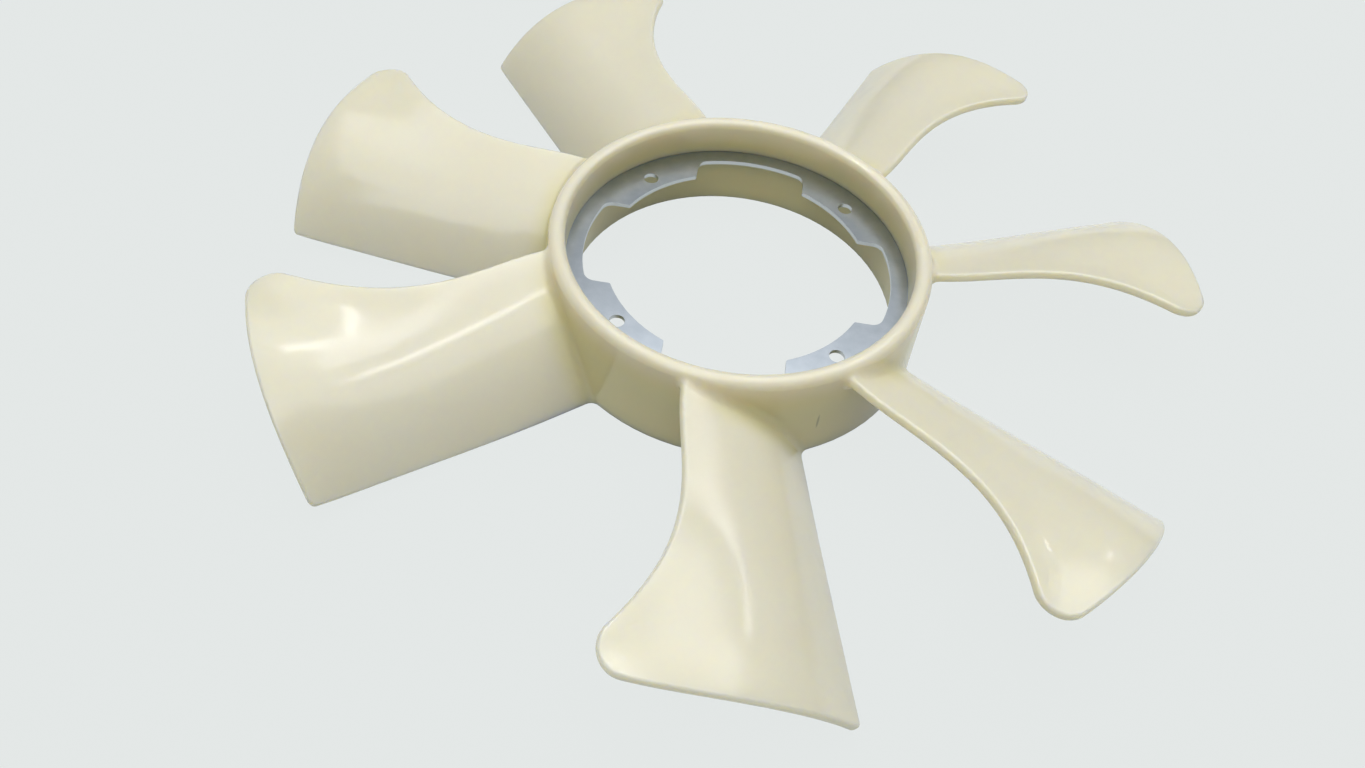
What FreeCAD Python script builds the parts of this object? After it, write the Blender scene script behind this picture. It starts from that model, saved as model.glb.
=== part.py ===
import FreeCAD, Part
import Sketcher
import os

# Axial fan impeller: one nylon moulding, of a hub ring and swept blades, over a stamped steel ring.
# The origin is on the fan's axis, at the steel ring's upper face, and +Z points to the intake side.
# A blade is drawn along +X. Its leading edge faces -Y, so the fan turns clockwise seen from above.

vector = FreeCAD.Vector
doc = FreeCAD.newDocument("fan_impeller")

# Driving sizes, in millimetres, and angles in degrees

SIZES = {
    # Steel mounting ring: its other radii are reached from the bolt circle
    "bolt_circle_radius": 67.5,
    "bolt_hole_radius": 3.5,
    "sheet_thickness": 2.0,
    "ear_reach": 6.9,
    "ear_corner_round": 1.0,
    "recess_reach": 3.3,
    "recess_width": 52.6,
    "recess_corner_round": 5.5,
    "bore_reach": 11.0,
    "bend_radius": 3.0,
    "flange_depth": 8.0,
    # Hub ring: its rounded rim, its wall that flares down to the base, and the shoulder inside it
    "rim_wall": 7.5,
    "rim_flat": 0.1,
    "rim_outer_share": 0.55,
    "rim_height": 16.8,
    "base_depth": 29.1,
    "base_flare": 2.1,
    "base_round": 1.0,
    "shoulder_width": 2.1,
    "lower_bore_flare": 0.9,
    # Blade, from the rim out to the tip circle, and how far its drawing runs past both
    "blade_length": 123.8,
    "root_margin": 16.0,
    "tip_margin": 6.2,
    # Leading edge in plan: how far its control points run ahead of the blade's own radius
    "lead_1": 24.8,
    "lead_2": 30.6,
    "lead_3": 25.5,
    "lead_4": 33.3,
    "lead_5": 68.8,
    "lead_6": 94.9,
    # Trailing edge in plan: a straight line behind the blade's own radius
    "first_trail": 25.6,
    "last_trail": 35.4,
    # Upper skin: how far its sections run past both edges, how far their front ends lie below the
    # rim's top, and how far their back ends lie below the hub's base
    "lead_margin": 12.6,
    "trail_margin": 4.2,
    "lead_drop_1": -1.9,
    "lead_drop_2": -1.7,
    "lead_drop_3": 1.7,
    "lead_drop_4": 2.8,
    "lead_drop_5": 4.3,
    "lead_drop_6": 8.6,
    "trail_drop_1": 13.9,
    "trail_drop_2": 12.6,
    "trail_drop_3": 11.6,
    "trail_drop_4": 6.7,
    "trail_drop_5": 1.7,
    "trail_drop_6": -4.2,
    # Camber: each section's crown above its chord, and its shift towards the trailing edge
    "crown_1": 12.3,
    "crown_2": 13.8,
    "crown_3": 13.3,
    "crown_4": 15.0,
    "crown_5": 19.4,
    "crown_6": 17.9,
    "crown_shift": 0.67,
    # Blade wall, its tip corners in plan, its rounded edges and its fillet to the hub
    "blade_wall": 4.2,
    "lead_corner_round": 10.5,
    "trail_corner_round": 2.0,
    "blade_edge_round": 1.4,
    "root_fillet": 4.5,
    # Where each blade's own radius points, seen from above: the blades are unevenly spaced
    "blade_angle_1": -80.9,
    "blade_angle_2": -144.2,
    "blade_angle_3": 172.4,
    "blade_angle_4": 126.0,
    "blade_angle_5": 63.2,
    "blade_angle_6": 16.9,
    "blade_angle_7": -35.1,
}
BLADES = 7
EARS = 4
FULL_TURN = 360.0
# A cubic curve's control points lie at these shares of its length, so that it runs evenly along it
STATION_SHARES = ("0", "1 / 9", "1 / 3", "2 / 3", "8 / 9", "1")
SECTIONS = len(STATION_SHARES)
NEAR = 0.01
# How a sketch numbers the points of its lines and arcs
START, END, CENTRE = 1, 2, 3
ORIGIN = (-1, START)
# The kinds of face that a turned piece has
TURNED_FACES = ("Part::GeomPlane", "Part::GeomCylinder", "Part::GeomCone", "Part::GeomToroid")

# Radii that follow from the sizes, from the inside outwards
EAR_RADIUS = "(Sizes.bolt_circle_radius - Sizes.ear_reach)"
RECESS_RADIUS = "(Sizes.bolt_circle_radius + Sizes.recess_reach)"
BORE_RADIUS = "(Sizes.bolt_circle_radius + Sizes.bore_reach)"
LOWER_BORE_RADIUS = f"({BORE_RADIUS} - Sizes.shoulder_width)"
BASE_BORE_RADIUS = f"({LOWER_BORE_RADIUS} + Sizes.lower_bore_flare)"
RIM_RADIUS = f"({BORE_RADIUS} + Sizes.rim_wall)"
BASE_RADIUS = f"({RIM_RADIUS} + Sizes.base_flare)"
FAN_RADIUS = f"({RIM_RADIUS} + Sizes.blade_length)"
FLANGE_RADIUS = f"({BORE_RADIUS} + Sizes.bend_radius)"
# The rim is rounded all over: its two rounds take up its wall
RIM_ROUNDS = "(Sizes.rim_wall - Sizes.rim_flat)"

sheet = doc.addObject("Spreadsheet::Sheet", "Sizes")
for line, (alias, value) in enumerate(SIZES.items(), 1):
    sheet.set(f"A{line}", alias)
    sheet.set(f"B{line}", str(value))
    sheet.setAlias(f"B{line}", alias)
doc.recompute()


def value_of(expression):
    return float(sheet.evalExpression(expression))


# Sketches

def new_body(name):
    body = doc.addObject("PartDesign::Body", name)
    body.Label = name
    return body


def new_sketch(body, name, plane):
    sketch = body.newObject("Sketcher::SketchObject", name)
    support = next(item for item in body.Origin.OriginFeatures if item.Role == plane)
    sketch.AttachmentSupport = [(support, "")]
    sketch.MapMode = "FlatFace"
    return sketch


def bind(sketch, kind, places, expression):
    """Adds a dimension to a sketch and ties it to the sheet."""
    index = sketch.addConstraint(Sketcher.Constraint(kind, *places, value_of(expression)))
    sketch.setExpression(f"Constraints[{index}]", expression)


def hold(sketch, geometry, point, across, up):
    """Holds a point of a sketch at its distances from the sketch's origin."""
    bind(sketch, "DistanceX", (*ORIGIN, geometry, point), across)
    bind(sketch, "DistanceY", (*ORIGIN, geometry, point), up)


def join(sketch, first, first_point, second, second_point):
    sketch.addConstraint(Sketcher.Constraint("Coincident", first, first_point, second, second_point))


def point_at(across, up):
    return vector(value_of(across), value_of(up), 0)


def add_line(sketch, start, end):
    return sketch.addGeometry(Part.LineSegment(point_at(*start), point_at(*end)), False)


def add_polygon(sketch, corners):
    """A closed polygon of (across, up) corners."""
    count = len(corners)
    lines = [add_line(sketch, corner, corners[(index + 1) % count]) for index, corner in enumerate(corners)]
    for index, corner in enumerate(corners):
        join(sketch, lines[index], END, lines[(index + 1) % count], START)
        hold(sketch, lines[index], START, *corner)


def add_circle(sketch, radius, across="0", up="0"):
    centre = point_at(across, up)
    index = sketch.addGeometry(Part.Circle(centre, vector(0, 0, 1), value_of(radius)), False)
    hold(sketch, index, CENTRE, across, up)
    bind(sketch, "Radius", (index,), radius)


def add_curve(sketch, curve, poles):
    """A spline whose control points are held at their places."""
    index = sketch.addGeometry(curve, False)
    sketch.exposeInternalGeometry(index)
    for number, pole in enumerate(poles, 1):
        hold(sketch, index + number, CENTRE, *pole)
    return index


# Features

def revolve(body, name, corners):
    sketch = new_sketch(body, name + "_profile", "XZ_Plane")
    add_polygon(sketch, corners)
    feature = body.newObject("PartDesign::Revolution", name)
    feature.Profile = sketch
    feature.ReferenceAxis = (sketch, ["V_Axis"])
    feature.Angle = FULL_TURN
    doc.recompute()
    return feature


def cut_through(body, name, sketch):
    feature = body.newObject("PartDesign::Pocket", name)
    feature.Profile = sketch
    feature.Type = "ThroughAll"
    feature.Midplane = True
    doc.recompute()
    return feature


def from_axis(point):
    return (point.x**2 + point.y**2) ** 0.5


def middle(edge):
    return edge.valueAt((edge.FirstParameter + edge.LastParameter) / 2)


def edges_where(shape, test):
    """The numbers of the edges that pass a test."""
    return [number for number, edge in enumerate(shape.Edges, 1) if test(edge)]


def add_fillet(body, name, base, numbers, radius):
    feature = body.newObject("PartDesign::Fillet", name)
    feature.Base = (base, [f"Edge{number}" for number in numbers])
    feature.setExpression("Radius", radius)
    doc.recompute()
    return feature


def round_edges(body, name, base, test, radius):
    return add_fillet(body, name, base, edges_where(base.Shape, test), radius)


def rounded_body(name, base, test, radius):
    """A body that starts from a solid and rounds some of its edges."""
    body = new_body(name)
    body.BaseFeature = base
    doc.recompute()
    add_fillet(body, name + "_round", body.Tip, edges_where(base.Shape, test), radius)
    return body


def circle_edge(radius, height):
    """A test for the circular edge of that radius and height about the fan's axis."""
    def test(edge):
        points = edge.discretize(SECTIONS)
        return all(abs(from_axis(point) - radius) < NEAR and abs(point.z - height) < NEAR for point in points)
    return test


def upright_edge(radius):
    """A test for the edges parallel to the fan's axis at that radius."""
    def test(edge):
        start, end = edge.valueAt(edge.FirstParameter), edge.valueAt(edge.LastParameter)
        level = vector(end.x - start.x, end.y - start.y, 0)
        return level.Length < NEAR and abs(from_axis(start) - radius) < NEAR
    return test


# Hub ring: a drafted wall with a shoulder under the steel ring

def hub_ring():
    # The wall first runs on below the base, so that the blades' whole roots meet it
    spare = "(Sizes.trail_drop_1 + Sizes.blade_wall)"
    flare = f"(Sizes.base_flare * (1 + {spare} / (Sizes.rim_height + Sizes.base_depth)))"
    body = new_body("hub_ring")
    last = revolve(body, "hub_wall", [
        (BORE_RADIUS, "Sizes.rim_height"),
        (BORE_RADIUS, "-Sizes.sheet_thickness"),
        (LOWER_BORE_RADIUS, "-Sizes.sheet_thickness"),
        (BASE_BORE_RADIUS, "-Sizes.base_depth"),
        (BASE_BORE_RADIUS, f"-Sizes.base_depth - {spare}"),
        (f"{RIM_RADIUS} + {flare}", f"-Sizes.base_depth - {spare}"),
        (RIM_RADIUS, "Sizes.rim_height"),
    ])
    rim_height = value_of("Sizes.rim_height")
    for name, radius, share in (
        ("rim_outer_round", RIM_RADIUS, "Sizes.rim_outer_share"),
        ("rim_inner_round", BORE_RADIUS, "(1 - Sizes.rim_outer_share)"),
    ):
        last = round_edges(body, name, last, circle_edge(value_of(radius), rim_height), f"{RIM_ROUNDS} * {share}")
    # The seam of the turned faces lies in the widest gap between two blades, clear of their fillets.
    body.setExpression("Placement.Rotation.Angle", "(Sizes.blade_angle_4 + Sizes.blade_angle_5) / 2")
    return body


# Blade: a cambered skin, trimmed to the blade's plan, thickened and rounded

FIRST_STATION = f"({RIM_RADIUS} - Sizes.root_margin)"
LAST_STATION = f"({FAN_RADIUS} + Sizes.tip_margin)"


def part_way(first, last, share):
    return f"({first} + ({last} - {first}) * {share})"


def skin_section(number, share):
    """The upper line of one section, across the blade, from ahead of it to behind it."""
    front = f"(-Sizes.lead_{number} - Sizes.lead_margin)"
    back = f"({part_way('Sizes.first_trail', 'Sizes.last_trail', share)} + Sizes.trail_margin)"
    top = f"(Sizes.rim_height - Sizes.lead_drop_{number})"
    bottom = f"(-Sizes.base_depth - Sizes.trail_drop_{number})"
    run, drop = f"({back} - {front})", f"({top} - {bottom})"
    rise = f"Sizes.crown_{number} * 4 / 3"
    half_wall = f"Sizes.blade_wall / 2 / hypot({run}; {drop})"
    chord = [
        (front, top),
        (f"{front} + {run} / 3", f"{top} - {drop} / 3 + {rise} * (1 - Sizes.crown_shift)"),
        (f"{front} + {run} * 2 / 3", f"{top} - {drop} * 2 / 3 + {rise} * (1 + Sizes.crown_shift)"),
        (back, bottom),
    ]
    poles = [(f"{across} + {half_wall} * {drop}", f"{up} + {half_wall} * {run}") for across, up in chord]
    sketch = doc.addObject("Sketcher::SketchObject", f"skin_section_{number}")
    sketch.Placement.Rotation = FreeCAD.Rotation(vector(0, 1, 0), vector(0, 0, 1), vector(1, 0, 0))
    sketch.setExpression("Placement.Base.x", part_way(FIRST_STATION, LAST_STATION, share))
    curve = Part.BezierCurve()
    curve.setPoles([point_at(*pole) for pole in poles])
    add_curve(sketch, curve.toBSpline(), poles)
    return sketch


def blade_outline():
    """The blade's plan, as a thick plate: concave leading edge, straight trailing edge, round tip."""
    body = new_body("blade_outline")
    sketch = new_sketch(body, "blade_plan", "XY_Plane")
    poles = [(part_way(FIRST_STATION, LAST_STATION, share), f"-Sizes.lead_{number}")
             for number, share in enumerate(STATION_SHARES, 1)]
    curve = Part.BSplineCurve()
    curve.buildFromPolesMultsKnots([point_at(*pole) for pole in poles], [4, 1, 1, 4], [0, 1, 2, 3], False, 3)
    lead = add_curve(sketch, curve, poles)
    inner, outer = (FIRST_STATION, "Sizes.first_trail"), (LAST_STATION, "Sizes.last_trail")
    trail = add_line(sketch, inner, outer)
    hold(sketch, trail, START, *inner)
    hold(sketch, trail, END, *outer)
    for start, end, point in ((poles[0], inner, START), (poles[-1], outer, END)):
        line = add_line(sketch, start, end)
        join(sketch, line, START, lead, point)
        join(sketch, line, END, trail, point)
    plate = body.newObject("PartDesign::Pad", "plan_plate")
    plate.Profile = sketch
    plate.Midplane = True
    plate.setExpression("Length", FAN_RADIUS)
    doc.recompute()
    ends = new_sketch(body, "blade_ends", "XY_Plane")
    add_circle(ends, f"({RIM_RADIUS} + {FLANGE_RADIUS}) / 2")
    add_circle(ends, FAN_RADIUS)
    add_circle(ends, f"{FAN_RADIUS} * 2")
    last = cut_through(body, "plan_ends", ends)
    tip_edge = upright_edge(value_of(FAN_RADIUS))
    for name, side in (("lead", -1), ("trail", 1)):
        last = round_edges(body, f"{name}_corner", last,
                           lambda edge: tip_edge(edge) and middle(edge).y * side > NEAR,
                           f"Sizes.{name}_corner_round")
    return body


def blade():
    sections = [skin_section(number, share) for number, share in enumerate(STATION_SHARES, 1)]
    doc.recompute()
    skin = doc.addObject("Part::Loft", "blade_skin")
    # From the tip inwards, so that the skin faces up and its wall is added underneath
    skin.Sections = sections[::-1]
    skin.Solid = False
    face = doc.addObject("Part::Common", "blade_face")
    face.Base = skin
    face.Tool = blade_outline()
    slab = doc.addObject("Part::Offset", "blade_slab")
    slab.Source = face
    slab.Fill = True
    slab.setExpression("Value", "-Sizes.blade_wall")
    doc.recompute()
    sides = sorted(slab.Shape.Faces, key=lambda side: -side.Area)[:2]
    hub = value_of(RIM_RADIUS)

    def on_rim_of_side(edge):
        return from_axis(middle(edge)) > hub and any(
            edge.isSame(other) for side in sides for other in side.Edges)

    return rounded_body("blade", slab, on_rim_of_side, "Sizes.blade_edge_round")


# Nylon moulding: the hub ring and its blades in one, with fillets at the blade roots

def fan_moulding(insert):
    hub = doc.addObject("Part::Cut", "hub_with_seat")
    hub.Base = hub_ring()
    hub.Tool = insert
    pattern = blade()
    blades = []
    for number in range(1, BLADES + 1):
        copy = doc.addObject("App::Link", f"blade_{number}")
        copy.LinkedObject = pattern
        copy.setExpression("LinkPlacement.Rotation.Angle", f"Sizes.blade_angle_{number}")
        blades.append(copy)
    joined = doc.addObject("Part::MultiFuse", "hub_and_blades")
    joined.Shapes = [hub, *blades]
    doc.recompute()
    shape = joined.Shape

    def at_root(edge):
        """Whether one of the hub's turned faces meets one of a blade's freely curved faces there."""
        turned = [face.Surface.TypeId in TURNED_FACES for face in shape.ancestorsOfType(edge, Part.Face)]
        return sorted(turned) == [False, True]

    filleted = rounded_body("filleted_moulding", joined, at_root, "Sizes.root_fillet")

    # The hub and the trailing edges end in one flat base.
    below = doc.addObject("Part::Cylinder", "below_base")
    below.setExpression("Radius", f"{FAN_RADIUS} * 2")
    below.setExpression("Height", FAN_RADIUS)
    below.setExpression("Placement.Base.z", f"-Sizes.base_depth - {FAN_RADIUS}")
    flush = doc.addObject("Part::Cut", "flush_moulding")
    flush.Base = filleted
    flush.Tool = below
    doc.recompute()
    base_edge = circle_edge(value_of(BASE_BORE_RADIUS), value_of("-Sizes.base_depth"))
    return rounded_body("fan_moulding", flush, base_edge, "Sizes.base_round")


# Steel ring: a flat plate with four eared openings, and a rim turned down into the hub wall

def mounting_ring():
    body = new_body("mounting_ring")
    inside = f"({FLANGE_RADIUS} - Sizes.sheet_thickness)"
    last = revolve(body, "ring_blank", [
        (EAR_RADIUS, "0"),
        (FLANGE_RADIUS, "0"),
        (FLANGE_RADIUS, "-Sizes.flange_depth"),
        (inside, "-Sizes.flange_depth"),
        (inside, "-Sizes.sheet_thickness"),
        (EAR_RADIUS, "-Sizes.sheet_thickness"),
    ])
    last = round_edges(body, "outer_bend", last, circle_edge(value_of(FLANGE_RADIUS), 0), "Sizes.bend_radius")
    last = round_edges(body, "inner_bend", last,
                       circle_edge(value_of(inside), value_of("-Sizes.sheet_thickness")),
                       "Sizes.bend_radius - Sizes.sheet_thickness")

    # A recess with parallel sides and a floor that follows the ring
    sketch = new_sketch(body, "recess_profile", "XY_Plane")
    half = "Sizes.recess_width / 2"
    floor = f"sqrt({RECESS_RADIUS} ^ 2 - ({half}) ^ 2)"
    start = f"{EAR_RADIUS} / 2"
    reach, side = value_of(floor), value_of(half)
    arc = sketch.addGeometry(Part.Arc(vector(reach, -side, 0), vector(value_of(RECESS_RADIUS), 0, 0),
                                      vector(reach, side, 0)), False)
    join(sketch, arc, CENTRE, *ORIGIN)
    hold(sketch, arc, START, floor, f"-{half}")
    bind(sketch, "DistanceY", (*ORIGIN, arc, END), half)
    near_corner, far_corner = (start, f"-{half}"), (start, half)
    back = add_line(sketch, near_corner, far_corner)
    hold(sketch, back, START, *near_corner)
    hold(sketch, back, END, *far_corner)
    for point, corner, end in ((START, near_corner, (floor, f"-{half}")), (END, far_corner, (floor, half))):
        line = add_line(sketch, corner, end)
        join(sketch, line, START, back, point)
        join(sketch, line, END, arc, point)
    recess = cut_through(body, "recess", sketch)

    holes = new_sketch(body, "bolt_hole_profile", "XY_Plane")
    place = "Sizes.bolt_circle_radius / sqrt(2)"
    add_circle(holes, "Sizes.bolt_hole_radius", place, place)
    hole = cut_through(body, "bolt_hole", holes)
    pattern = body.newObject("PartDesign::PolarPattern", "ears")
    pattern.Originals = [recess, hole]
    pattern.Axis = (sketch, ["N_Axis"])
    pattern.Angle = FULL_TURN
    pattern.Occurrences = EARS
    body.Tip = pattern
    doc.recompute()
    last = round_edges(body, "recess_corners", pattern, upright_edge(value_of(RECESS_RADIUS)),
                       "Sizes.recess_corner_round")
    round_edges(body, "ear_corners", last, upright_edge(value_of(EAR_RADIUS)), "Sizes.ear_corner_round")
    return body


ring = mounting_ring()
parts = [ring, fan_moulding(ring)]
doc.recompute()

failed = [item.Name for item in doc.Objects if "Invalid" in item.State or "Error" in item.State]
if failed:
    raise RuntimeError(f"not built: {failed}")
os.makedirs("parts", exist_ok=True)
for part in parts:
    shape = part.Shape
    if shape.isNull() or not shape.isValid() or len(shape.Solids) != 1:
        raise RuntimeError(f"{part.Label} isn't one valid solid")
for part in parts:
    part.Shape.exportStep(f"parts/{part.Label}.step")
    print(part.Label, round(part.Shape.Volume), "mm3,", len(part.Shape.Faces), "faces")
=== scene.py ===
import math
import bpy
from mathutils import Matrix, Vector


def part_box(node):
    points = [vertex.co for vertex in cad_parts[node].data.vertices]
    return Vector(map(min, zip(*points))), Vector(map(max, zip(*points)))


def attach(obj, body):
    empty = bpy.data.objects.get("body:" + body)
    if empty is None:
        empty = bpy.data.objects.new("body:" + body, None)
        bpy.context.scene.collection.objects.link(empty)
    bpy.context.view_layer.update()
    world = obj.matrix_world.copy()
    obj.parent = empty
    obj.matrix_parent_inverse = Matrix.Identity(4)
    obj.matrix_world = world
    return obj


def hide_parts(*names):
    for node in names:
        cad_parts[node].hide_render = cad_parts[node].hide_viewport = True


bl_info = {
    "name": "Axial fan impeller",
    "version": (1, 0, 0),
    "blender": (4, 5, 0),
    "location": "3D View > Sidebar > Fan",
    "description": "Finishes the fan's nylon moulding and steel ring, and sets them in a plain studio",
    "category": "Object",
}

import bpy
from bpy.props import FloatProperty, FloatVectorProperty, PointerProperty
from mathutils import Quaternion, Vector

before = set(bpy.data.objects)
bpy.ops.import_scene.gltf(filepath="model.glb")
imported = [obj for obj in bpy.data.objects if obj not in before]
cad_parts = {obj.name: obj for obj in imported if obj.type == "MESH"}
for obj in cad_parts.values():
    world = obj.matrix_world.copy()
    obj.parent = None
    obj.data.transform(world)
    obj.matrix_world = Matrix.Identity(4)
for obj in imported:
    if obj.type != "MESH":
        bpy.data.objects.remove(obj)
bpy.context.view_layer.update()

MM = 0.001
LOW_CORNER, HIGH_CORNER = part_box("fan_moulding")
BASE_HEIGHT, RIM_HEIGHT = LOW_CORNER.z, HIGH_CORNER.z

# Corners of the loose triangles that lie this close are one corner
WELD = 0.002 * MM

# Faces that turn less than this are one flat face of the sheet steel
FLAT_BELOW = math.radians(0.5)

# Edges of the steel that turn more than this are its cut edges, and curves below the others are smooth
CUT_ABOVE = math.radians(50)
NYLON_SMOOTH_BELOW = math.radians(60)
STEEL_SMOOTH_BELOW = math.radians(35)
EDGE_BREAK_FACES = 2

# Painted shade and thick nylon: the hub's wall is darker and yellower. The tint fades out along the blade
# roots and up to the rim.
HUB_RADIUS = 86.5 * MM
WALL_SHADE_FULL_WITHIN = HUB_RADIUS - 2 * MM
WALL_SHADE_GONE_BEYOND = HUB_RADIUS + 14 * MM
RIM_FADE = 14 * MM

# The scuff on the hub's outer wall: its middle, the way that the wall faces there, and its half sizes,
# the share of them that is scuffed through, and how strongly it covers the nylon
SCUFF_PLACE = (42.9 * MM, -76.0 * MM, -10.6 * MM)
SCUFF_TURN = math.atan2(SCUFF_PLACE[1], SCUFF_PLACE[0])
SCUFF_SIZE = (3.0 * MM, 0.7 * MM, 5.5 * MM)
SCUFF_CORE = 0.4
SCUFF_STRENGTH = 0.5

# How far light spreads inside the nylon, and the shares of that for red, green and blue
LIGHT_SPREAD = 10 * MM
SPREAD_SHARES = (1.0, 0.88, 0.5)
RIPPLE_DEPTH = 0.03 * MM

# How flat the steel lies where its painted edge shade and highlight start and where they are full: 1 is
# flat, 0 is upright
EDGE_SHADE_START, EDGE_SHADE_FULL = 0.98, 0.8
SHEARED_START, SHEARED_FULL = 0.35, 0.15
PLATED_ROUGHNESS = 0.28
SHEARED_ROUGHNESS = 0.4

# The floor stays clear of the hub's flat base, so that the two faces don't share one plane
FLOOR_GAP = 0.1 * MM
FLOOR_CORNERS = 64

# The share of the floor's own colour in what the camera and reflections see. The rest takes the shadow.
BACKDROP_SHARE = 0.97

# The strength of the room's light at the bottom and at the top
ROOM_BELOW, ROOM_ABOVE = 0.15, 0.45

# Where each lamp stands, its width and height, its turn about its own beam, and its power in watts.
# The narrow ones leave the small bright marks on the blades.
LAMPS = (
    ("top_softbox", (0, 0.25, 1.9), (2.4, 2.0), 0, 26),
    ("front_softbox", (-0.4, -0.9, 1.6), (0.8, 0.8), 0, 4.5),
    ("back_softbox", (0.45, 0.85, 1.5), (1.7, 0.65), 0, 3.5),
    ("strip_lamp", (-0.11, 0.35, 1.4), (0.02, 0.5), 21, 0.6),
    ("crest_lamp", (-0.36, 0.49, 1.4), (0.02, 0.22), -92, 0.6),
    ("spot_lamp", (0.24, -0.01, 1.4), (0.045, 0.045), 0, 0.22),
    ("right_lamp", (1.18, 1.33, 1.4), (0.03, 0.16), 0, 0.35),
)

# The camera stands where the photograph was taken from. Its sensor and lens are in millimetres.
CAMERA_PLACE = (-7.49 * MM, -336.33 * MM, 322.89 * MM)
CAMERA_TURN = tuple(math.radians(angle) for angle in (38.59, -4.919, 7.835))
CAMERA_SENSOR = 36
CAMERA_LENS = 26.654
CAMERA_NEAR, CAMERA_FAR = 0.01, 100


def linear(hex_colour):
    """An sRGB colour written as #RRGGBB, as the linear colour that a shader takes."""
    channels = [int(hex_colour[place:place + 2], 16) / 255 for place in (1, 3, 5)]
    return tuple(c / 12.92 if c <= 0.04045 else ((c + 0.055) / 1.055) ** 2.4 for c in channels)


# Sizes and colours that a user would change

def length(label, text, size):
    return FloatProperty(name=label, description=text, default=size * MM, min=0, unit="LENGTH")


def colour(label, text, hex_colour):
    return FloatVectorProperty(name=label, description=text, default=linear(hex_colour), subtype="COLOR",
                               size=3, min=0, max=1)


class NylonSettings(bpy.types.PropertyGroup):
    shade: colour("Nylon", "Natural nylon where the wall is thin", "#E8E2D0")
    warm_shade: colour("Warm nylon", "The warmer clouds in the thin walls", "#E4DCC6")
    # The thick-wall colour is darker and yellower: partly thick nylon, partly painted shade on the hub's
    # walls below the rim
    thick_wall_painted_shade: colour("Thick nylon", "Natural nylon where the wall is thick, yellower", "#E0D8A4")
    scuff_shade: colour("Scuff", "Colour of the scuff on the hub's outer wall", "#8C8874")
    cloud_size: length("Clouding", "Size of the faint clouds that moisture leaves in the colour", 45)
    skin_grain: length("Skin grain", "Distance between the ripples of the moulded skin", 1.6)


class SteelSettings(bpy.types.PropertyGroup):
    shade: colour("Zinc plating", "The plated steel's reflection", "#B9C0C8")
    dull_shade: colour("Dull zinc", "The plating where it has dulled", "#98A1AB")
    # The rolled edge colour is painted shade along the bevel, and the sheared edge colour is a painted
    # highlight on the upright cut
    edge_painted_shade: colour("Rolled edge", "The dark line where the shears rolled the rim over", "#4A4E52")
    cut_painted_highlight: colour("Sheared edge", "The bright cut of the shears", "#C4C9CC")
    spangle: length("Mottle", "Size of the plating's mottle", 7)
    edge_break: length("Edge break", "Width of the worn edge that the stamping's burr leaves", 0.45)


class StudioSettings(bpy.types.PropertyGroup):
    backdrop: colour("Backdrop", "Colour of the floor and of what is behind it", "#E5E9E8")
    paint: colour("Floor paint", "Colour that the floor throws back on the part", "#B4B7B6")
    floor_radius: length("Floor", "Distance from the fan's axis to the floor's edge", 9000)


# Materials

def add_node(tree, kind, inputs=None, **settings):
    """Adds a node with its settings, and gives its inputs their values or links."""
    node = tree.nodes.new(kind)
    for name, value in settings.items():
        setattr(node, name, value)
    for name, value in (inputs or {}).items():
        if isinstance(value, bpy.types.NodeSocket):
            tree.links.new(value, node.inputs[name])
        else:
            node.inputs[name].default_value = value
    return node


def new_material(name):
    material = bpy.data.materials.new(name)
    material.use_nodes = True
    material.node_tree.nodes.clear()
    return material, material.node_tree


def opaque(shade):
    return (*shade, 1.0)


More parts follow.
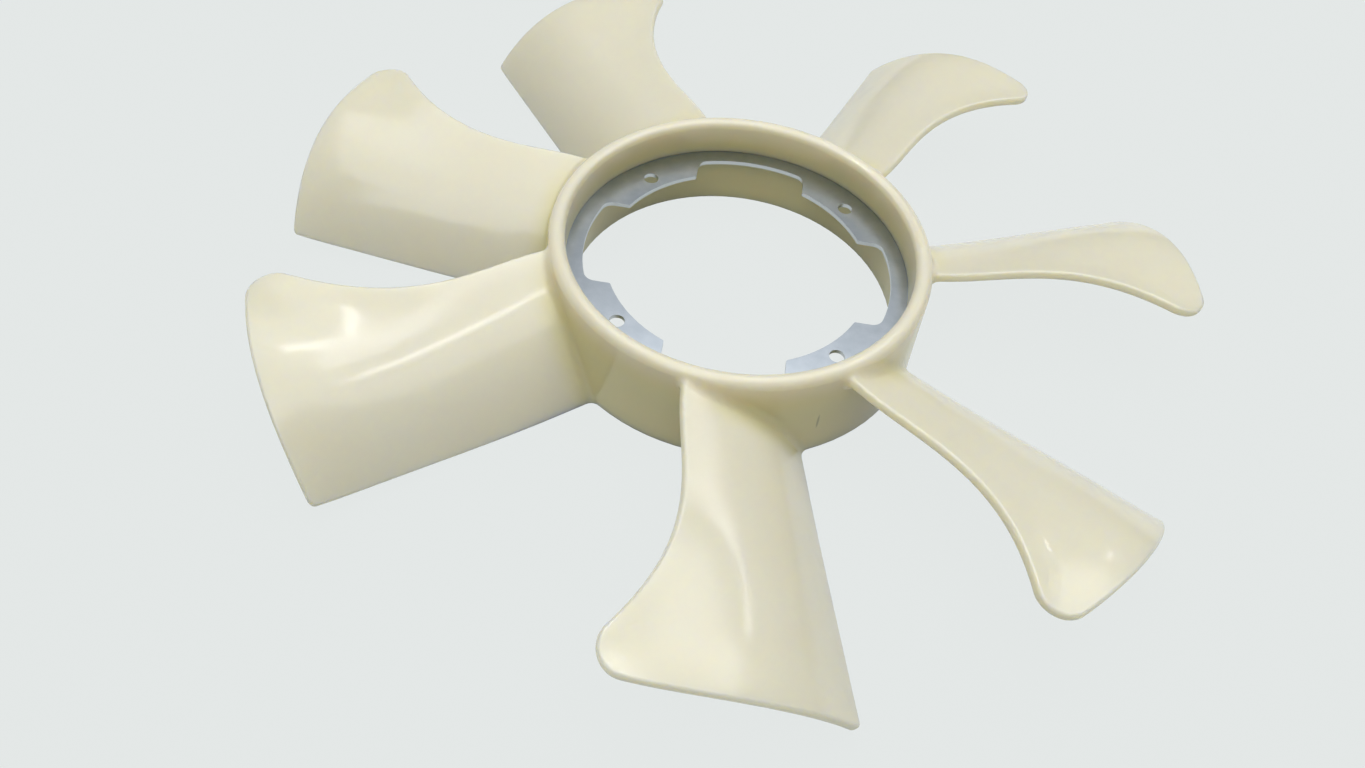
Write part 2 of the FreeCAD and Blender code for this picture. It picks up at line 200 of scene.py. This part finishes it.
def nylon_material(settings):
    """Natural nylon, injection moulded: a cream, milky plastic with a soft gloss."""
    material, tree = new_material("moulded_nylon")
    place = add_node(tree, "ShaderNodeTexCoord").outputs["Object"]

    # Moisture and flow leave slow clouds, warmer and paler by turns, so the blades don't look painted
    clouds = add_node(tree, "ShaderNodeTexNoise", {
        "Vector": place, "Scale": 1 / settings.cloud_size, "Detail": 7.0, "Roughness": 0.6})
    thin = add_node(tree, "ShaderNodeMixRGB", {
        "Fac": clouds.outputs["Fac"], "Color1": opaque(settings.warm_shade),
        "Color2": opaque(settings.shade)})

    # Painted shade: the hub's walls below the lit rim are painted darker and yellower, partly also because
    # their nylon is thick
    level = add_node(tree, "ShaderNodeVectorMath", {0: place, 1: (1, 1, 0)}, operation="MULTIPLY")
    reach = add_node(tree, "ShaderNodeVectorMath", {0: level.outputs["Vector"]}, operation="LENGTH")
    height = add_node(tree, "ShaderNodeSeparateXYZ", {"Vector": place})
    in_hub = add_node(tree, "ShaderNodeMapRange", {
        "Value": reach.outputs["Value"], "From Min": WALL_SHADE_GONE_BEYOND, "From Max": WALL_SHADE_FULL_WITHIN},
        interpolation_type="SMOOTHSTEP")
    below_rim = add_node(tree, "ShaderNodeMapRange", {
        "Value": height.outputs["Z"], "From Min": RIM_HEIGHT, "From Max": RIM_HEIGHT - RIM_FADE},
        interpolation_type="SMOOTHSTEP")
    wall_shade_mask = add_node(tree, "ShaderNodeMath", {
        0: in_hub.outputs["Result"], 1: below_rim.outputs["Result"]}, operation="MULTIPLY")
    wall_shaded = add_node(tree, "ShaderNodeMixRGB", {
        "Fac": wall_shade_mask.outputs["Value"], "Color1": thin.outputs["Color"],
        "Color2": opaque(settings.thick_wall_painted_shade)})

    # One short upright scuff on the hub's outer wall
    scuff = add_node(tree, "ShaderNodeMapping", {
        "Vector": place, "Location": SCUFF_PLACE, "Rotation": (0, 0, SCUFF_TURN), "Scale": SCUFF_SIZE},
        vector_type="TEXTURE")
    off_scuff = add_node(tree, "ShaderNodeVectorMath", {0: scuff.outputs["Vector"]}, operation="LENGTH")
    in_scuff = add_node(tree, "ShaderNodeMapRange", {
        "Value": off_scuff.outputs["Value"], "From Min": 1.0, "From Max": SCUFF_CORE},
        interpolation_type="SMOOTHSTEP")
    cover = add_node(tree, "ShaderNodeMath", {
        0: in_scuff.outputs["Result"], 1: SCUFF_STRENGTH}, operation="MULTIPLY")
    scuffed = add_node(tree, "ShaderNodeMixRGB", {
        "Fac": cover.outputs["Value"], "Color1": wall_shaded.outputs["Color"],
        "Color2": opaque(settings.scuff_shade)})

    # Fine ripples of the moulded skin, which only break up the highlights
    ripples = add_node(tree, "ShaderNodeTexNoise", {
        "Vector": place, "Scale": 1 / settings.skin_grain, "Detail": 3.0})
    skin = add_node(tree, "ShaderNodeBump", {
        "Height": ripples.outputs["Fac"], "Strength": 0.2, "Distance": RIPPLE_DEPTH})

    nylon = add_node(tree, "ShaderNodeBsdfPrincipled", {
        "Base Color": scuffed.outputs["Color"], "Roughness": 0.15, "IOR": 1.53,
        "Normal": skin.outputs["Normal"], "Subsurface Weight": 1.0,
        "Subsurface Radius": SPREAD_SHARES, "Subsurface Scale": LIGHT_SPREAD})
    add_node(tree, "ShaderNodeOutputMaterial", {"Surface": nylon.outputs["BSDF"]})
    return material


def zinc_material(settings):
    """Sheet steel, blanked and zinc plated: cool, softly mirroring faces, with painted shade along the edge
    bevels and a painted highlight on the cut edges.
    """
    material, tree = new_material("zinc_plated_steel")
    place = add_node(tree, "ShaderNodeTexCoord").outputs["Object"]

    # The plating has dulled in soft patches, so its reflections aren't even
    mottle = add_node(tree, "ShaderNodeTexNoise", {
        "Vector": place, "Scale": 1 / settings.spangle, "Detail": 4.0, "Roughness": 0.6})
    plated = add_node(tree, "ShaderNodeMixRGB", {
        "Fac": mottle.outputs["Fac"], "Color1": opaque(settings.dull_shade),
        "Color2": opaque(settings.shade)})

    # Painted shade and highlight: the bevel, where the steel tilts from flat, is painted dark, and the
    # upright cut below it is painted bright and made rougher
    normal = add_node(tree, "ShaderNodeNewGeometry").outputs["Normal"]
    facing = add_node(tree, "ShaderNodeSeparateXYZ", {"Vector": normal})
    flatness = add_node(tree, "ShaderNodeMath", {0: facing.outputs["Z"]}, operation="ABSOLUTE")
    rolled = add_node(tree, "ShaderNodeMapRange", {
        "Value": flatness.outputs["Value"], "From Min": EDGE_SHADE_START, "From Max": EDGE_SHADE_FULL},
        interpolation_type="SMOOTHSTEP")
    painted_dark_bevel = add_node(tree, "ShaderNodeMixRGB", {
        "Fac": rolled.outputs["Result"], "Color1": plated.outputs["Color"],
        "Color2": opaque(settings.edge_painted_shade)})
    sheared = add_node(tree, "ShaderNodeMapRange", {
        "Value": flatness.outputs["Value"], "From Min": SHEARED_START, "From Max": SHEARED_FULL},
        interpolation_type="SMOOTHSTEP")
    painted_bright_cut = add_node(tree, "ShaderNodeMixRGB", {
        "Fac": sheared.outputs["Result"], "Color1": painted_dark_bevel.outputs["Color"],
        "Color2": opaque(settings.cut_painted_highlight)})
    roughness = add_node(tree, "ShaderNodeMapRange", {
        "Value": sheared.outputs["Result"], "To Min": PLATED_ROUGHNESS, "To Max": SHEARED_ROUGHNESS})

    steel = add_node(tree, "ShaderNodeBsdfPrincipled", {
        "Base Color": painted_bright_cut.outputs["Color"], "Metallic": 1.0,
        "Roughness": roughness.outputs["Result"]})
    add_node(tree, "ShaderNodeOutputMaterial", {"Surface": steel.outputs["BSDF"]})
    return material


def backdrop_material(settings):
    """A matt floor that shows its colour to the camera and in reflections, with a faint shadow."""
    material, tree = new_material("matt_backdrop")
    rays = add_node(tree, "ShaderNodeLightPath")
    seen = add_node(tree, "ShaderNodeMath", {
        0: rays.outputs["Is Camera Ray"], 1: rays.outputs["Is Glossy Ray"]}, operation="MAXIMUM")
    seen_through = add_node(tree, "ShaderNodeMath", {
        0: seen.outputs["Value"], 1: rays.outputs["Is Transmission Ray"]}, operation="MAXIMUM")
    share = add_node(tree, "ShaderNodeMath", {
        0: seen_through.outputs["Value"], 1: BACKDROP_SHARE}, operation="MULTIPLY")
    paint = add_node(tree, "ShaderNodeBsdfDiffuse", {"Color": opaque(settings.paint)})
    glow = add_node(tree, "ShaderNodeEmission", {"Color": opaque(settings.backdrop)})
    both = add_node(tree, "ShaderNodeMixShader", {
        "Fac": share.outputs["Value"], 1: paint.outputs["BSDF"], 2: glow.outputs["Emission"]})
    add_node(tree, "ShaderNodeOutputMaterial", {"Surface": both.outputs["Shader"]})
    return material


def studio_world(settings):
    """A room that is dark low down and pale above. The camera sees the plain backdrop instead."""
    world = bpy.data.worlds.new("studio_world")
    world.use_nodes = True
    tree = world.node_tree
    tree.nodes.clear()
    rays = add_node(tree, "ShaderNodeLightPath")
    way = add_node(tree, "ShaderNodeTexCoord").outputs["Generated"]
    height = add_node(tree, "ShaderNodeSeparateXYZ", {"Vector": way})
    light = add_node(tree, "ShaderNodeMapRange", {
        "Value": height.outputs["Z"], "To Min": ROOM_BELOW, "To Max": ROOM_ABOVE})
    strength = add_node(tree, "ShaderNodeMix", {
        "Factor": rays.outputs["Is Camera Ray"], "A": light.outputs["Result"], "B": 1.0})
    sky = add_node(tree, "ShaderNodeBackground", {
        "Color": opaque(settings.backdrop), "Strength": strength.outputs["Result"]})
    add_node(tree, "ShaderNodeOutputWorld", {"Surface": sky.outputs["Background"]})
    return world


# Pieces

def finished_copy(node, name, material, smooth_below, edge_break=0):
    """A copy of a solid's mesh, joined up, with its cut edges broken and its curves shaded smooth."""
    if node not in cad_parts:
        raise RuntimeError(f"the frame has no node named {node}")
    bpy.ops.object.select_all(action="DESELECT")
    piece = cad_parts[node].copy()
    piece.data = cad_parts[node].data.copy()
    for key in list(piece.keys()):
        del piece[key]
    piece.parent = None
    piece.name = name
    piece.data.name = name
    bpy.context.scene.collection.objects.link(piece)
    piece.select_set(True)
    bpy.context.view_layer.objects.active = piece
    bpy.ops.object.mode_set(mode="EDIT")
    bpy.ops.mesh.select_all(action="SELECT")
    bpy.ops.mesh.remove_doubles(threshold=WELD)
    if edge_break:
        bpy.ops.mesh.dissolve_limited(angle_limit=FLAT_BELOW)
    bpy.ops.object.mode_set(mode="OBJECT")
    if edge_break:
        bpy.ops.object.modifier_add(type="BEVEL")
        bevel = piece.modifiers[-1]
        bevel.width = edge_break
        bevel.segments = EDGE_BREAK_FACES
        bevel.limit_method = "ANGLE"
        bevel.angle_limit = CUT_ABOVE
        bpy.ops.object.modifier_apply(modifier=bevel.name)
    # The solid's own shading normals no longer fit the joined faces
    bpy.ops.mesh.customdata_custom_splitnormals_clear()
    bpy.ops.object.shade_smooth_by_angle(angle=smooth_below)
    bpy.ops.object.modifier_add(type="WEIGHTED_NORMAL")
    weighted = piece.modifiers[-1]
    weighted.mode = "FACE_AREA_WITH_ANGLE"
    weighted.keep_sharp = True
    bpy.ops.object.modifier_apply(modifier=weighted.name)
    if not piece.data.polygons:
        raise RuntimeError(f"{name} has no faces left")
    piece.data.materials.clear()
    piece.data.materials.append(material)
    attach(piece, "root")
    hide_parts(node)
    return piece


def add_floor(settings):
    bpy.ops.object.select_all(action="DESELECT")
    bpy.ops.mesh.primitive_circle_add(vertices=FLOOR_CORNERS, radius=settings.floor_radius,
                                      fill_type="NGON", location=(0, 0, BASE_HEIGHT - FLOOR_GAP))
    floor = bpy.context.object
    floor.name = "floor"
    floor.data.materials.append(backdrop_material(settings))


def add_lamp(name, place, size, turn, power):
    """An area lamp that is aimed at the middle of the fan and turned about its beam."""
    bpy.ops.object.light_add(type="AREA", location=place)
    lamp = bpy.context.object
    lamp.name = name
    lamp.data.shape = "RECTANGLE"
    lamp.data.size, lamp.data.size_y = size
    lamp.data.energy = power
    aim = (-Vector(place)).to_track_quat("-Z", "Y")
    lamp.rotation_euler = (aim @ Quaternion((0, 0, 1), math.radians(turn))).to_euler()


def add_camera():
    bpy.ops.object.camera_add(location=CAMERA_PLACE, rotation=CAMERA_TURN)
    camera = bpy.context.object
    camera.name = "camera"
    camera.data.sensor_width = CAMERA_SENSOR
    camera.data.lens = CAMERA_LENS
    camera.data.clip_start = CAMERA_NEAR
    camera.data.clip_end = CAMERA_FAR
    camera.data.dof.use_dof = False
    return camera


class FAN_OT_moulding(bpy.types.Operator):
    """Finishes the hub ring and its blades, one moulding in natural nylon"""
    bl_idname = "fan.moulding"
    bl_label = "Nylon moulding"

    def execute(self, context):
        nylon = nylon_material(context.scene.fan_nylon)
        piece = finished_copy("fan_moulding", "nylon_moulding", nylon, NYLON_SMOOTH_BELOW)
        return {"FINISHED"}


class FAN_OT_ring(bpy.types.Operator):
    """Finishes the stamped and zinc-plated mounting ring"""
    bl_idname = "fan.ring"
    bl_label = "Mounting ring"

    def execute(self, context):
        settings = context.scene.fan_steel
        steel = zinc_material(settings)
        piece = finished_copy("mounting_ring", "steel_ring", steel, STEEL_SMOOTH_BELOW, settings.edge_break)
        return {"FINISHED"}


class FAN_OT_studio(bpy.types.Operator):
    """Sets the camera, the soft lamps, the pale floor and the world"""
    bl_idname = "fan.studio"
    bl_label = "Studio"

    def execute(self, context):
        settings = context.scene.fan_studio
        add_floor(settings)
        context.scene.world = studio_world(settings)
        for lamp in LAMPS:
            add_lamp(*lamp)
        context.scene.camera = add_camera()
        context.scene.view_settings.view_transform = "Standard"
        return {"FINISHED"}


OPERATORS = (FAN_OT_moulding, FAN_OT_ring, FAN_OT_studio)
SETTINGS = {"fan_nylon": NylonSettings, "fan_steel": SteelSettings, "fan_studio": StudioSettings}


class FAN_PT_panel(bpy.types.Panel):
    """Lists the fan's pieces and their settings"""
    bl_idname = "FAN_PT_panel"
    bl_label = "Axial fan impeller"
    bl_space_type = "VIEW_3D"
    bl_region_type = "UI"
    bl_category = "Fan"

    def draw(self, context):
        for operator, group in zip(OPERATORS, SETTINGS):
            box = self.layout.box()
            settings = getattr(context.scene, group)
            for name in settings.__annotations__:
                box.prop(settings, name)
            box.operator(operator.bl_idname)


def register():
    for item in (*SETTINGS.values(), *OPERATORS, FAN_PT_panel):
        bpy.utils.register_class(item)
    for name, group in SETTINGS.items():
        setattr(bpy.types.Scene, name, PointerProperty(type=group))


def unregister():
    for name in SETTINGS:
        delattr(bpy.types.Scene, name)
    for item in (FAN_PT_panel, *reversed(OPERATORS), *reversed(SETTINGS.values())):
        bpy.utils.unregister_class(item)


def main():
    register()
    bpy.ops.fan.moulding()
    bpy.ops.fan.ring()
    bpy.ops.fan.studio()


if __name__ == "__main__":
    main()
